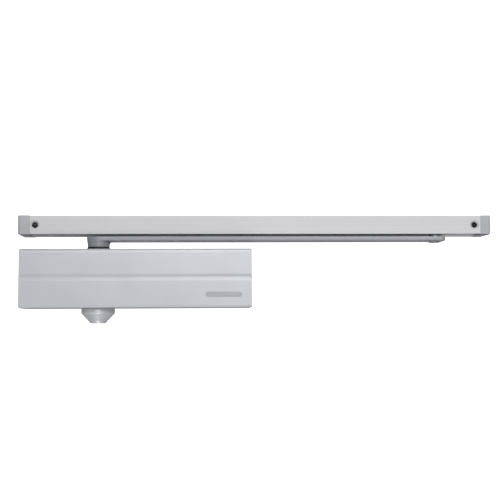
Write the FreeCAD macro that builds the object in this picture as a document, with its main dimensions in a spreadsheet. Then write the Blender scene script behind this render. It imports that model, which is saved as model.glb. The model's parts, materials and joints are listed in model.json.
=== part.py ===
import FreeCAD, Part
import math
import os
import Sketcher

# Slide-rail door closer: a hydraulic closer body under a clip-on cover, a flat arm on its spindle
# and a guide rail that the arm's slide block runs in. +X runs along the body towards the arm's far
# end, -Y is the front, +Z is up. The origin is the middle of the body's mounting face.

V = FreeCAD.Vector
doc = FreeCAD.newDocument("door_closer")

# Driving dimensions in millimetres, degrees and counts.
SIZES = {
    # cover
    "cover_length": 210,
    "cover_wall": 2,
    "cover_gap": 0.5,
    "cover_end_gap": 1,
    "cover_top_round": 3,
    "cover_bottom_round": 2,
    "cover_end_round": 1,
    "groove_top": 3.6,
    "groove_width": 5.9,
    "groove_flank": 2.3,
    "groove_depth": 0.8,
    "badge_width": 33,
    "badge_tall": 4.6,
    "badge_proud": 0.4,
    "badge_inset": 9,
    "badge_drop": 14.9,
    # housing
    "cylinder_bore": 30,
    "front_wall": 5,
    "back_wall": 5.5,
    "side_wall": 9.35,
    "lug_edge": 7,
    "lug_to_block": 7,
    "lug_thick": 10,
    "fixing_hole": 5.5,
    "fixing_rise": 14,
    # fits, each a radial clearance, and how far a cutter runs past a face
    "still_gap": 0.04,
    "running_gap": 0.05,
    "seated_gap": 0.1,
    "cut_margin": 1,
    # spindle and pinion
    "gear_module": 2,
    "pinion_teeth": 8,
    "pressure_angle": 20,
    "rack_addendum": 0.9,
    "rack_backlash": 0.15,
    "tooth_root_gap": 0.3,
    "opening_angle": 170,
    "spindle_bore_gap": 2,
    "square_step": 0.93,
    "square_gap": 0.1,
    "shoulder_gap": 0.2,
    "pinion_end_gap": 0.5,
    "lower_end": 10,
    # bearings, seals and nuts
    "bearing_offset": 0.3,
    "bearing_tall": 5,
    "shaft_seal_tall": 1.7,
    "nut_flange_lip": 0.5,
    "nut_flange_tall": 2.8,
    "nut_shaft_gap": 0.3,
    "nut_notch": 2.8,
    "nut_notch_floor": 0.8,
    # piston and end plugs
    "plug_length": 8,
    "piston_rest_gap": 1,
    "left_head": 7.76,
    "right_head": 11,
    "window_end_gap": 1.5,
    "window_back_gap": 0.6,
    "ring_section": 1.2,
    "plug_key": 10,
    "plug_key_depth": 3,
    "port_plug": 2.5,
    "check_ball": 5,
    "check_side_gap": 0.5,
    "check_passage": 3,
    "check_wall": 5,
    "check_keeper_hole": 2.4,
    # closing spring and its adjuster
    "spring_wire": 5,
    "spring_side_gap": 1,
    "coil_gap": 0.5,
    "seat_thick": 6,
    "adjuster_collar": 1.7,
    "adjuster_thread": 8,
    "adjuster_travel": 6,
    "adjuster_flange": 3,
    "adjuster_reach": 2,
    "adjuster_sink": 0.5,
    "adjuster_key": 5,
    "adjuster_key_depth": 4,
    "adjuster_ring": 0.85,
    "adjuster_ring_inset": 3.05,
    "end_play": 0.15,
    # regulating valves and oil channels
    "valve_diameter": 6,
    "valve_side_wall": 1.2,
    "valve_front_wall": 1.5,
    "valve_depth": 16,
    "valve_sink": 0.3,
    "valve_ring": 0.62,
    "valve_ring_inset": 5,
    "valve_land": 0.65,
    "valve_neck": 1.3,
    "valve_cone": 2.1,
    "valve_tip_radius": 0.6,
    "valve_tip_gap": 0.4,
    "valve_slot": 1,
    "valve_slot_depth": 1.2,
    "channel_diameter": 3,
    "channel_wall": 2,
    "port_diameter": 2.4,
    "closing_port": 4,
    "latching_port": 1.3,
    # lower spindle cap
    "collar_wall": 1.5,
    "collar_gap": 0.2,
    "slot_gap": 0.5,
    "cap_overlap": 0.7,
    "cap_straight": 4.6,
    "cap_cone": 7.2,
    "cap_tip": 2,
    "cap_tip_radius": 8.55,
    "cap_wall": 1.5,
    "cap_edge": 0.5,
    "cap_nut_gap": 0.3,
    # arm
    "arm_length": 315,
    "arm_width": 20.4,
    "arm_thick": 3.8,
    "hub_gap": 1.75,
    "hub_tall": 10.2,
    "hub_wall": 2.49,
    "hub_taper": 1.3,
    "hub_web": 2,
    "socket_depth": 5.4,
    "screw_diameter": 6,
    "screw_length": 12.5,
    "screw_head": 10,
    "screw_head_tall": 2.6,
    "screw_head_gap": 1.2,
    "screw_edge": 0.4,
    "screw_hole_gap": 0.2,
    "screw_key": 4,
    "screw_key_depth": 1.8,
    # slide pin and block
    "pin_diameter": 8,
    "pin_head": 10.8,
    "pin_head_tall": 1.3,
    "pin_collar_tall": 1,
    "clip_thick": 0.8,
    "clip_width": 2.8,
    "clip_seat": 0.8,
    "pin_end": 0.7,
    "pin_edge": 0.5,
    "clip_mouth_step": 0.6,
    "block_length": 30,
    "block_round": 2,
    "block_tall": 9.5,
    "block_gap": 0.3,
    # guide rail
    "rail_length": 440,
    "rail_overrun": 52,
    "arm_rail_gap": 2.4,
    "rail_tall": 17.1,
    "rail_wall": 2,
    "channel_width": 15,
    "pin_slot_gap": 0.5,
    "rail_round": 0.6,
    "end_cap_length": 10,
    "end_cap_proud": 0.3,
    "end_cap_round": 3,
    "end_cap_tongue": 8,
    "end_block_inset": 24,
    "rail_hole": 5.5,
    "rail_hole_inset": 15.5,
    "countersink": 8.6,
    "countersink_depth": 1.4,
}

# Places that follow from the driving dimensions.
LAYOUT = {
    "bore_radius": "Sizes.cylinder_bore / 2",
    "axis_y": "-Sizes.back_wall - bore_radius",
    "valve_radius": "Sizes.valve_diameter / 2",
    "channel_radius": "Sizes.channel_diameter / 2",
    "channel_y": "axis_y - spindle_bore - Sizes.channel_wall - channel_radius",
    "bore_front": "axis_y - bore_radius - Sizes.front_wall",
    "valve_front": "channel_y - valve_radius - Sizes.valve_front_wall",
    "housing_front": "min(bore_front; valve_front)",
    "housing_top": "bore_radius + Sizes.side_wall",
    "cover_front": "housing_front - Sizes.cover_gap - Sizes.cover_wall",
    "cover_top": "housing_top + Sizes.cover_gap + Sizes.cover_wall",
    "cover_end": "Sizes.cover_length / 2",
    "lug_end": "cover_end - Sizes.cover_wall - Sizes.cover_end_gap",
    "fixing_x": "lug_end - Sizes.lug_edge",
    "block_end": "fixing_x - Sizes.lug_to_block",
    "plug_face": "block_end - Sizes.plug_length",
    # pinion and rack
    "pitch_radius": "Sizes.gear_module * Sizes.pinion_teeth / 2",
    "tip_radius": "pitch_radius + Sizes.gear_module",
    "rack_tip_reach": "pitch_radius - Sizes.rack_addendum",
    "root_radius": "rack_tip_reach - Sizes.tooth_root_gap",
    "rack_root_reach": "tip_radius + Sizes.tooth_root_gap",
    "tooth_pitch": "pi * Sizes.gear_module",
    "contact_reach": "sqrt(tip_radius^2 - rack_tip_reach^2)",
    "travel": "pitch_radius * Sizes.opening_angle * pi / 180",
    "piston_left": "-plug_face + Sizes.piston_rest_gap",
    "window_left": "piston_left + Sizes.left_head",
    "spindle_x": "window_left + travel + Sizes.window_end_gap + tip_radius",
    "window_right": "spindle_x + tip_radius + Sizes.window_end_gap",
    "piston_right": "window_right + Sizes.right_head",
    "piston_radius": "bore_radius - Sizes.running_gap",
    # spindle stack
    "spindle_bore": "tip_radius + Sizes.spindle_bore_gap",
    "journal_radius": "pitch_radius",
    "square_side": "sqrt(2) * (journal_radius - Sizes.square_step)",
    "pinion_half": "bore_radius - Sizes.pinion_end_gap",
    "bearing_inner": "bore_radius + Sizes.bearing_offset",
    "seal_inner": "bearing_inner + Sizes.bearing_tall",
    "nut_inner": "seal_inner + Sizes.shaft_seal_tall",
    "nut_flange": "spindle_bore + Sizes.nut_flange_lip",
    "nut_top": "housing_top + Sizes.nut_flange_tall",
    "collar_inner": "nut_flange + Sizes.collar_gap",
    "collar_outer": "collar_inner + Sizes.collar_wall",
    "slot_radius": "collar_outer + Sizes.slot_gap",
    "cap_radius": "slot_radius + Sizes.cap_overlap",
    # spring and adjuster
    "seat_right": "plug_face - Sizes.adjuster_collar - 2 * Sizes.end_play",
    "seat_left": "seat_right - Sizes.seat_thick",
    "spring_length": "seat_left - piston_right - Sizes.spring_wire",
    "spring_radius": "bore_radius - Sizes.spring_side_gap - Sizes.spring_wire / 2",
    # valves and channels
    "valve_z": "bore_radius + valve_radius + Sizes.valve_side_wall",
    "port_radius": "Sizes.port_diameter / 2",
    "port_y": "(channel_y + channel_radius + axis_y - bore_radius) / 2",
    "spring_port": "piston_right + travel + 2 * Sizes.port_diameter",
    # arm and slide
    "hub_bottom": "cover_top + Sizes.hub_gap",
    "arm_top": "hub_bottom + Sizes.hub_tall",
    "hub_radius": "sqrt(2) * (square_side / 2 + Sizes.square_gap) + Sizes.hub_wall",
    "arm_bottom": "arm_top - Sizes.arm_thick",
    "socket_top": "hub_bottom + Sizes.socket_depth",
    "web_top": "socket_top + Sizes.hub_web",
    "spindle_shoulder": "hub_bottom - Sizes.shoulder_gap",
    "spindle_top": "socket_top - Sizes.shoulder_gap",
    "pin_x": "spindle_x + Sizes.arm_length",
    "pin_radius": "Sizes.pin_diameter / 2",
    # rail
    "rail_bottom": "arm_top + Sizes.arm_rail_gap",
    "rail_top": "rail_bottom + Sizes.rail_tall",
    "rail_right": "pin_x + Sizes.rail_overrun",
    "rail_left": "rail_right - Sizes.rail_length",
    "rail_middle": "(rail_left + rail_right) / 2",
    "channel_floor": "rail_bottom + Sizes.rail_wall",
    "channel_top": "rail_top - Sizes.rail_wall",
    "channel_front": "axis_y - Sizes.channel_width / 2",
    "channel_back": "axis_y + Sizes.channel_width / 2",
    "rail_front": "channel_front - Sizes.rail_wall",
    "block_bottom": "channel_floor + Sizes.block_gap",
    "block_top": "block_bottom + Sizes.block_tall",
    "clip_bottom": "block_top + Sizes.block_gap",
    "rail_hole_z": "(rail_bottom + rail_top) / 2",
}


def fill_sheet(name, cells, sign=""):
    """Put each value in a cell of column B and give the cell its alias."""
    sheet = doc.addObject("Spreadsheet::Sheet", name)
    for row, (alias, text) in enumerate(cells.items(), start=1):
        sheet.set(f"A{row}", alias)
        sheet.set(f"B{row}", f"{sign}{text}")
        sheet.setAlias(f"B{row}", alias)
    return sheet


sizes = fill_sheet("Sizes", SIZES)
layout = fill_sheet("Layout", LAYOUT, "=")
doc.recompute()


def value(expression):
    """The number that an expression in the sheets' terms has now."""
    return float(layout.evalExpression(expression))


nodes = []


def node(piece, label):
    """Name a finished sub-part and list it for writing."""
    piece.Label = label
    nodes.append(piece)
    return piece


def place(piece, x="0", y="0", z="0"):
    """Bind a piece's position to the sheets."""
    for letter, expression in zip("xyz", (x, y, z)):
        piece.setExpression(f".Placement.Base.{letter}", expression)
    return piece


TURNS = {
    "X": FreeCAD.Rotation(V(0, 1, 0), 90),
    "Y": FreeCAD.Rotation(V(1, 0, 0), -90),
    "Z": FreeCAD.Rotation(),
}


def primitive(kind, name, along="Z", at=("0", "0", "0"), **bound):
    """A Part primitive with bound sizes, its own Z turned to the wanted axis."""
    piece = doc.addObject(f"Part::{kind}", name)
    piece.Placement = FreeCAD.Placement(V(), TURNS[along])
    for prop, expression in bound.items():
        piece.setExpression(prop, expression)
    return place(piece, *at)


def rod(name, radius, start, length, along="Z", across=("0", "0")):
    """A cylinder along X, Y or Z from start; across is its place on the other two axes."""
    at = list(across)
    at.insert("XYZ".index(along), start)
    return primitive("Cylinder", name, along, at, Radius=radius, Height=length)


def block(name, low, high):
    """A box between two corners."""
    spans = [f"({b}) - ({a})" for a, b in zip(low, high)]
    return primitive("Box", name, "Z", low, Length=spans[0], Width=spans[1], Height=spans[2])


def fuse(name, pieces):
    joined = doc.addObject("Part::MultiFuse", name)
    joined.Shapes = pieces
    joined.Refine = True
    return joined


def cut(name, base, tools):
    """Take tools away from a base one after another."""
    for tool in tools:
        result = doc.addObject("Part::Cut", name)
        result.Base = base
        result.Tool = tool
        base = result
    result.Refine = True
    return result


def new_body(name):
    return doc.addObject("PartDesign::Body", name)


def add_sketch(body, role):
    """An empty sketch on one of the body's own origin planes."""
    plane = [item for item in body.Origin.OriginFeatures if item.Role == role][0]
    sketch = body.newObject("Sketcher::SketchObject", f"{body.Name}_sketch")
    sketch.AttachmentSupport = [(plane, "")]
    sketch.MapMode = "FlatFace"
    return sketch


def add_outline(sketch, points):
    """A closed outline of straight lines whose corners are bound to the sheets."""
    first = sketch.GeometryCount
    corners = [V(value(across), value(up), 0) for across, up in points]
    for start, end in zip(corners, corners[1:] + corners[:1]):
        sketch.addGeometry(Part.LineSegment(start, end), False)
    for index, (across, up) in enumerate(points):
        line = first + index
        following = first + (index + 1) % len(points)
        sketch.addConstraint(Sketcher.Constraint("Coincident", line, 2, following, 1))
        for kind, expression in (("DistanceX", across), ("DistanceY", up)):
            limit = Sketcher.Constraint(kind, -1, 1, line, 1, value(expression))
            number = sketch.addConstraint(limit)
            sketch.setExpression(f"Constraints[{number}]", expression)


def add_pad(body, role, outlines, length, both_ways=False, backwards=False):
    sketch = add_sketch(body, role)
    for points in outlines:
        add_outline(sketch, points)
    pad = body.newObject("PartDesign::Pad", f"{body.Name}_pad")
    pad.Profile = sketch
    pad.setExpression("Length", length)
    pad.SideType = "Symmetric" if both_ways else "One side"
    pad.Reversed = backwards
    return pad


def add_pocket(body, role, outlines, length, both_ways=False, backwards=False):
    """A pocket that must take something away from the body."""
    doc.recompute()
    volume = body.Shape.Volume
    sketch = add_sketch(body, role)
    for points in outlines:
        add_outline(sketch, points)
    pocket = body.newObject("PartDesign::Pocket", f"{body.Name}_pocket")
    pocket.Profile = sketch
    pocket.setExpression("Length", length)
    pocket.SideType = "Symmetric" if both_ways else "One side"
    pocket.Reversed = backwards
    doc.recompute()
    if body.Shape.Volume > volume - 1e-3:
        raise RuntimeError(f"a pocket in {body.Name} cuts nothing")
    return pocket


def add_fillet(body, radius, chosen):
    """Round the edges of the body's last feature that chosen() accepts, by the edge's middle."""
    doc.recompute()
    base = body.Tip
    names = []
    for number, edge in enumerate(base.Shape.Edges, start=1):
        if chosen(edge.BoundBox.Center, edge):
            names.append(f"Edge{number}")
    fillet = body.newObject("PartDesign::Fillet", f"{body.Name}_fillet")
    fillet.Base = (base, names)
    fillet.setExpression("Radius", radius)
    return fillet


def turned(name, points, along="Z"):
    """A turned piece: points are (radius, distance along the axis) pairs round its section."""
    body = new_body(name)
    lengthways = along == "X"
    sketch = add_sketch(body, "XY_Plane" if along == "Y" else "XZ_Plane")
    add_outline(sketch, [(b, a) if lengthways else (a, b) for a, b in points])
    turn = body.newObject("PartDesign::Revolution", f"{name}_turn")
    turn.Profile = sketch
    turn.ReferenceAxis = (sketch, ["H_Axis" if lengthways else "V_Axis"])
    turn.Angle = 360
    return body


def ring(name, inner, outer, low, high, along="Z"):
    """A plain turned ring."""
    return turned(name, [(inner, low), (outer, low), (outer, high), (inner, high)], along)


def near(number, expression):
    return abs(number - value(expression)) < 0.01


def make_cover():
    """The clip-on cover: a box open at the back, with slots that pass the spindle's nuts."""
    front, top = "Layout.cover_front", "Layout.cover_top"
    floor = f"{front} + Sizes.groove_depth"
    groove_low = "Sizes.groove_top - Sizes.groove_width"
    section = [
        ("0", f"-{top}"),
        ("0", top),
        (front, top),
        (front, "Sizes.groove_top"),
        (floor, "Sizes.groove_top - Sizes.groove_flank"),
        (floor, f"{groove_low} + Sizes.groove_flank"),
        (front, groove_low),
        (front, f"-{top}"),
    ]
    body = new_body("cover_body")
    add_pad(body, "YZ_Plane", [section], "Sizes.cover_length", both_ways=True)
    long_edge = value("Sizes.cover_length") - 1
    add_fillet(body, "Sizes.cover_top_round", lambda c, e: e.Length > long_edge
               and near(c.y, front) and near(c.z, top))
    add_fillet(body, "Sizes.cover_bottom_round", lambda c, e: e.Length > long_edge
               and near(c.y, front) and near(c.z, f"-{top}"))
    add_fillet(body, "Sizes.cover_end_round", lambda c, e: near(abs(c.x), "Layout.cover_end")
               and c.y < value(front) / 2)
    inner_x = "Layout.cover_end - Sizes.cover_wall"
    inner_z = f"{top} - Sizes.cover_wall"
    opening = [(f"-({inner_x})", f"-({inner_z})"), (inner_x, f"-({inner_z})"),
               (inner_x, inner_z), (f"-({inner_x})", inner_z)]
    add_pocket(body, "XZ_Plane", [opening], f"-({front}) - Sizes.cover_wall", backwards=True)
    straight = block("cover_slot_straight",
                     ("Layout.spindle_x - Layout.slot_radius", "Layout.axis_y", "-2 * Layout.cover_top"),
                     ("Layout.spindle_x + Layout.slot_radius", "Sizes.cut_margin", "2 * Layout.cover_top"))
    bend = rod("cover_slot_bend", "Layout.slot_radius", "-2 * Layout.cover_top",
               "4 * Layout.cover_top", "Z", ("Layout.spindle_x", "Layout.axis_y"))
    return node(cut("cover_piece", body, [straight, bend]), "cover")


def make_badge():
    """A plain raised pill on the cover's front."""
    half = "Sizes.badge_tall / 2"
    right = "Layout.cover_end - Sizes.badge_inset"
    left = f"{right} - Sizes.badge_width"
    back = "Layout.cover_front"
    front = f"{back} - Sizes.badge_proud"
    drop = "-Sizes.badge_drop"
    bar = block("badge_bar", (f"{left} + {half}", front, f"{drop} - {half}"),
                (f"{right} - {half}", back, f"{drop} + {half}"))
    ends = []
    for side, x in (("left", f"{left} + {half}"), ("right", f"{right} - {half}")):
        ends.append(rod(f"badge_{side}", half, front, "Sizes.badge_proud", "Y", (x, drop)))
    return node(fuse("badge_piece", [bar] + ends), "cover_badge")


def make_housing():
    """The cast housing: a block with mounting lugs, bored along X and up through the spindle."""
    end, lug, top = "Layout.block_end", "Layout.lug_end", "Layout.housing_top"
    body = new_body("housing_body")
    main = [(f"-{end}", f"-{top}"), (end, f"-{top}"), (end, top), (f"-{end}", top)]
    add_pad(body, "XZ_Plane", [main], "-Layout.housing_front")
    lugs = [(f"-{lug}", f"-{top}"), (lug, f"-{top}"), (lug, top), (f"-{lug}", top)]
    add_pad(body, "XZ_Plane", [lugs], "Sizes.lug_thick")
    axis = ("Layout.axis_y", "0")
    tools = [
        rod("bore_tool", "Layout.bore_radius", f"-2 * {end}", f"4 * {end}", "X", axis),
        rod("spindle_tool", "Layout.spindle_bore", f"-2 * {top}", f"4 * {top}", "Z",
            ("Layout.spindle_x", "Layout.axis_y")),
    ]
    for x_sign in ("-", ""):
        for z_sign in ("-", ""):
            tools.append(rod("fixing_tool", "Sizes.fixing_hole / 2", "-2 * Sizes.lug_thick",
                             "4 * Sizes.lug_thick", "Y",
                             (f"{x_sign}Layout.fixing_x", f"{z_sign}Sizes.fixing_rise")))
    for z_sign, port in (("", "Sizes.closing_port"), ("-", "Sizes.latching_port")):
        line = ("Layout.channel_y", f"{z_sign}Layout.valve_z")
        tools.append(rod("valve_tool", "Layout.valve_radius", f"-{end} - Sizes.cut_margin",
                         "Sizes.valve_depth + Sizes.cut_margin", "X", line))
        tools.append(rod("channel_tool", "Layout.channel_radius", f"-{end} + Sizes.cut_margin",
                         f"Layout.spring_port + {end} - Sizes.cut_margin + Layout.port_radius", "X", line))
        start = "0" if z_sign == "" else f"-{top} - Sizes.cut_margin"
        for x in (f"-Layout.plug_face + {port}", "Layout.spring_port"):
            tools.append(rod("port_tool", "Layout.port_radius", start, f"{top} + Sizes.cut_margin", "Z",
                             (x, "Layout.port_y")))
    return node(cut("housing_piece", body, tools), "housing")


def make_port_plugs():
    """The four short pins that close the cross drillings at the housing's top and bottom."""
    depth = "Sizes.port_plug"
    pins = []
    for z_sign, port in (("", "Sizes.closing_port"), ("-", "Sizes.latching_port")):
        start = f"Layout.housing_top - {depth}" if z_sign == "" else "-Layout.housing_top"
        for x in (f"-Layout.plug_face + {port}", "Layout.spring_port"):
            pins.append(rod("port_pin", "Layout.port_radius - Sizes.still_gap", start, depth, "Z",
                            (x, "Layout.port_y")))
    group = doc.addObject("Part::Compound", "port_pins")
    group.Links = pins
    return node(group, "oil_channel_plugs")


def make_plug(label, x_sign, inner_radius):
    """An end plug with a ring groove; inner_radius is its centre hole, or None for a hex recess."""
    reach = "Layout.bore_radius - Sizes.still_gap"
    groove = "Layout.bore_radius - 2 * Sizes.ring_section - 2 * Sizes.still_gap"
    hole = inner_radius or "0"
    middle = "Layout.plug_face + 2 * Sizes.ring_section"
    low = f"{middle} - Sizes.ring_section - Sizes.still_gap"
    high = f"{middle} + Sizes.ring_section + Sizes.still_gap"
    points = [(hole, "Layout.plug_face"), (reach, "Layout.plug_face"), (reach, low), (groove, low),
              (groove, high), (reach, high), (reach, "Layout.block_end"), (hole, "Layout.block_end")]
    if x_sign == "-":
        points = [(radius, f"-({x})") for radius, x in points]
    piece = turned(f"{label}_body", points, "X")
    place(piece, "0", "Layout.axis_y", "0")
    seal = primitive("Torus", f"{label}_ring", "X", (f"{x_sign}({middle})", "Layout.axis_y", "0"),
                     Radius1=f"Layout.bore_radius - Sizes.ring_section - Sizes.still_gap",
                     Radius2="Sizes.ring_section - Sizes.still_gap / 2")
    return piece, seal


def hex_tool(name, across, start, length, along, sideways):
    """A hexagonal cutter for a key's socket, sized across its flats."""
    at = list(sideways)
    at.insert("XYZ".index(along), start)
    tool = primitive("Prism", name, along, at, Circumradius=f"({across}) / sqrt(3)", Height=length)
    tool.Polygon = 6
    return tool


def make_end_plugs():
    """The two threaded end plugs and their sealing rings."""
    left, left_seal = make_plug("left_plug", "-", None)
    recess = hex_tool("left_plug_hex", "Sizes.plug_key", "-Layout.block_end - Sizes.cut_margin",
                      "Sizes.plug_key_depth + Sizes.cut_margin", "X", ("Layout.axis_y", "0"))
    node(cut("left_plug_piece", left, [recess]), "left_end_plug")
    node(left_seal, "left_plug_seal")
    thread = "Sizes.adjuster_thread / 2 + Sizes.running_gap"
    right, right_seal = make_plug("right_plug", "", thread)
    middle = "Layout.block_end - Sizes.adjuster_ring_inset"
    half = "(Sizes.adjuster_ring + Sizes.seated_gap)"
    groove = ring("adjuster_groove", "Sizes.adjuster_thread / 2", f"{thread} + 2 * {half}",
                  f"{middle} - {half}", f"{middle} + {half}", "X")
    place(groove, "0", "Layout.axis_y", "0")
    node(cut("right_plug_piece", right, [groove]), "right_end_plug")
    node(right_seal, "right_plug_seal")
    packing = primitive("Torus", "adjuster_ring", "X", (middle, "Layout.axis_y", "0"),
                        Radius1=f"{thread} + Sizes.adjuster_ring", Radius2="Sizes.adjuster_ring")
    node(packing, "force_screw_seal")


def make_spindle_stack(label, z_sign):
    """Bearing bush, shaft seal and bearing nut round one end of the spindle."""
    shaft = "Layout.journal_radius + Sizes.running_gap"
    outer = "Layout.spindle_bore - Sizes.still_gap"
    layers = (
        ("bearing", shaft, outer, "Layout.bearing_inner", "Layout.seal_inner"),
        ("shaft_seal", shaft, outer, "Layout.seal_inner", "Layout.nut_inner"),
    )
    for kind, inner, edge, low, high in layers:
        ends = (low, high) if z_sign == "" else (f"-{high}", f"-{low}")
        piece = ring(f"{label}_{kind}_body", inner, edge, *ends)
        place(piece, "Layout.spindle_x", "Layout.axis_y", "0")
        node(piece, f"{label}_{kind}")
    bore = f"{shaft} + Sizes.nut_shaft_gap"
    points = [(bore, "Layout.nut_inner"), (outer, "Layout.nut_inner"), (outer, "Layout.housing_top"),
              ("Layout.nut_flange", "Layout.housing_top"), ("Layout.nut_flange", "Layout.nut_top"),
              (bore, "Layout.nut_top")]
    if z_sign == "-":
        points = [(radius, f"-({z})") for radius, z in points]
    nut = turned(f"{label}_nut_body", points)
    place(nut, "Layout.spindle_x", "Layout.axis_y", "0")
    notches = []
    for number, (x_side, y_side) in enumerate(((1, 0), (-1, 0), (0, 1), (0, -1))):
        x = f"Layout.spindle_x + {x_side} * Layout.nut_flange"
        y = f"Layout.axis_y + {y_side} * Layout.nut_flange"
        floor = "Layout.housing_top + Sizes.nut_notch_floor"
        start = floor if z_sign == "" else f"-({floor}) - Sizes.nut_flange_tall"
        notches.append(rod(f"{label}_notch_{number}", "Sizes.nut_notch / 2", start, "Sizes.nut_flange_tall",
                           "Z", (x, y)))
    node(cut(f"{label}_nut_piece", nut, notches), f"{label}_bearing_nut")


def involute_flank(base, start, end, steps):
    """Points of an involute from radius start to radius end, its root on the +X axis."""
    points = []
    for step in range(steps + 1):
        radius = start + (end - start) * step / steps
        roll = math.sqrt(max((radius / base) ** 2 - 1, 0))
        angle = roll - math.atan(roll)
        points.append(V(radius * math.cos(angle), radius * math.sin(angle), 0))
    return points


def pinion_face():
    """The pinion's outline: involute flanks above the base circle, radial ones below it."""
    teeth = int(value("Sizes.pinion_teeth"))
    pitch, tip, root = (value(f"Layout.{name}_radius") for name in ("pitch", "tip", "root"))
    pressure = math.radians(value("Sizes.pressure_angle"))
    base = pitch * math.cos(pressure)
    half = math.pi / (2 * teeth) + math.tan(pressure) - pressure
    upper = involute_flank(base, base, tip, 8)
    edges = []
    for tooth in range(teeth):
        middle = -90 + 360 * tooth / teeth
        rising = FreeCAD.Rotation(V(0, 0, 1), middle - math.degrees(half))
        falling = FreeCAD.Rotation(V(0, 0, 1), middle + math.degrees(half))
        first = [rising.multVec(point) for point in upper]
        last = [falling.multVec(V(point.x, -point.y, 0)) for point in reversed(upper)]
        foot_in = rising.multVec(V(root, 0, 0))
        foot_out = falling.multVec(V(root, 0, 0))
        gap = FreeCAD.Rotation(V(0, 0, 1), middle + 180 / teeth)
        next_foot = FreeCAD.Rotation(V(0, 0, 1), middle + 360 / teeth - math.degrees(half))
        crown = FreeCAD.Rotation(V(0, 0, 1), middle).multVec(V(tip, 0, 0))
        curve_up = Part.BSplineCurve()
        curve_up.interpolate(first)
        curve_down = Part.BSplineCurve()
        curve_down.interpolate(last)
        edges += [
            Part.LineSegment(foot_in, first[0]).toShape(),
            curve_up.toShape(),
            Part.Arc(first[-1], crown, last[0]).toShape(),
            curve_down.toShape(),
            Part.LineSegment(last[-1], foot_out).toShape(),
            Part.Arc(foot_out, gap.multVec(V(root, 0, 0)), next_foot.multVec(V(root, 0, 0))).toShape(),
        ]
    return Part.Face(Part.Wire(Part.__sortEdges__(edges)))


def make_spindle():
    """The spindle: pinion in the middle, journals above and below, and a square at each end."""
    half = value("Layout.pinion_half")
    teeth = doc.addObject("Part::Feature", "pinion")
    teeth.Shape = pinion_face().extrude(V(0, 0, 2 * half))
    teeth.Placement = FreeCAD.Placement(V(0, 0, -half), FreeCAD.Rotation())
    place(teeth, "Layout.spindle_x", "Layout.axis_y", "-Layout.pinion_half")
    line = ("Layout.spindle_x", "Layout.axis_y")
    shoulder = "Layout.spindle_shoulder"
    side = "Layout.square_side / 2"
    lower = "-Layout.cover_top - Sizes.lower_end"
    pieces = [teeth]
    pieces.append(rod("upper_journal", "Layout.journal_radius", "Layout.pinion_half",
                      f"{shoulder} - Layout.pinion_half", "Z", line))
    pieces.append(rod("lower_journal", "Layout.journal_radius", f"-({shoulder})",
                      f"{shoulder} - Layout.pinion_half", "Z", line))
    squares = (("upper_square", shoulder, "Layout.spindle_top"), ("lower_square", lower, f"-({shoulder})"))
    for name, low, high in squares:
        pieces.append(block(name, (f"{line[0]} - {side}", f"{line[1]} - {side}", low),
                            (f"{line[0]} + {side}", f"{line[1]} + {side}", high)))
    whole = fuse("spindle_whole", pieces)
    thread = "Sizes.screw_diameter / 2"
    depth = "(Sizes.screw_length + Sizes.cut_margin)"
    reach = f"{depth} + Sizes.cut_margin"
    holes = [
        rod("upper_thread", thread, f"Layout.spindle_top - {depth}", reach, "Z", line),
        rod("lower_thread", thread, f"{lower} - Sizes.cut_margin", reach, "Z", line),
    ]
    return node(cut("spindle_piece", whole, holes), "spindle")


def make_arm():
    """The arm: a tapered hub with a square socket, and a flat bar rounded at its far end."""
    line = ("Layout.spindle_x", "Layout.axis_y")
    half = "Sizes.arm_width / 2"
    hub = primitive("Cone", "hub", "Z", (*line, "Layout.hub_bottom"), Radius1="Layout.hub_radius",
                    Radius2="Layout.hub_radius + Sizes.hub_taper", Height="Sizes.hub_tall")
    bar = block("bar", (line[0], f"{line[1]} - {half}", "Layout.arm_bottom"),
                ("Layout.pin_x", f"{line[1]} + {half}", "Layout.arm_top"))
    far = ("Layout.pin_x", "Layout.axis_y")
    end = rod("bar_end", half, "Layout.arm_bottom", "Sizes.arm_thick", "Z", far)
    side = "Layout.square_side / 2 + Sizes.square_gap"
    below = "Layout.hub_bottom - Sizes.cut_margin"
    socket = block("socket", (f"{line[0]} - ({side})", f"{line[1]} - ({side})", below),
                   (f"{line[0]} + {side}", f"{line[1]} + {side}", "Layout.socket_top"))
    passage = rod("screw_passage", "Sizes.screw_diameter / 2 + Sizes.screw_hole_gap", "Layout.hub_bottom",
                  "Sizes.hub_tall", "Z", line)
    recess = rod("screw_recess", "Sizes.screw_head / 2 + Sizes.screw_head_gap", "Layout.web_top",
                 "Sizes.hub_tall", "Z", line)
    pin_hole = rod("pin_hole", "Layout.pin_radius + Sizes.still_gap", "Layout.hub_bottom",
                   "2 * Sizes.hub_tall", "Z", far)
    whole = fuse("arm_whole", [hub, bar, end])
    return node(cut("arm_piece", whole, [socket, passage, recess, pin_hole]), "arm")


def make_arm_screw():
    """The screw that holds the arm on the spindle, with a hexagonal key socket."""
    shank = "Sizes.screw_diameter / 2 - Sizes.still_gap"
    head = "Sizes.screw_head / 2"
    points = [("0", "-Sizes.screw_length"), (shank, "-Sizes.screw_length"), (shank, "0"), (head, "0"),
              (head, "Sizes.screw_head_tall - Sizes.screw_edge"),
              (f"{head} - Sizes.screw_edge", "Sizes.screw_head_tall"),
              ("0", "Sizes.screw_head_tall")]
    body = turned("arm_screw_body", points)
    place(body, "Layout.spindle_x", "Layout.axis_y", "Layout.web_top")
    floor = "Layout.web_top + Sizes.screw_head_tall - Sizes.screw_key_depth"
    key = hex_tool("arm_screw_key", "Sizes.screw_key", floor, "Sizes.screw_head_tall", "Z",
                   ("Layout.spindle_x", "Layout.axis_y"))
    return node(cut("arm_screw_piece", body, [key]), "arm_screw")


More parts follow.
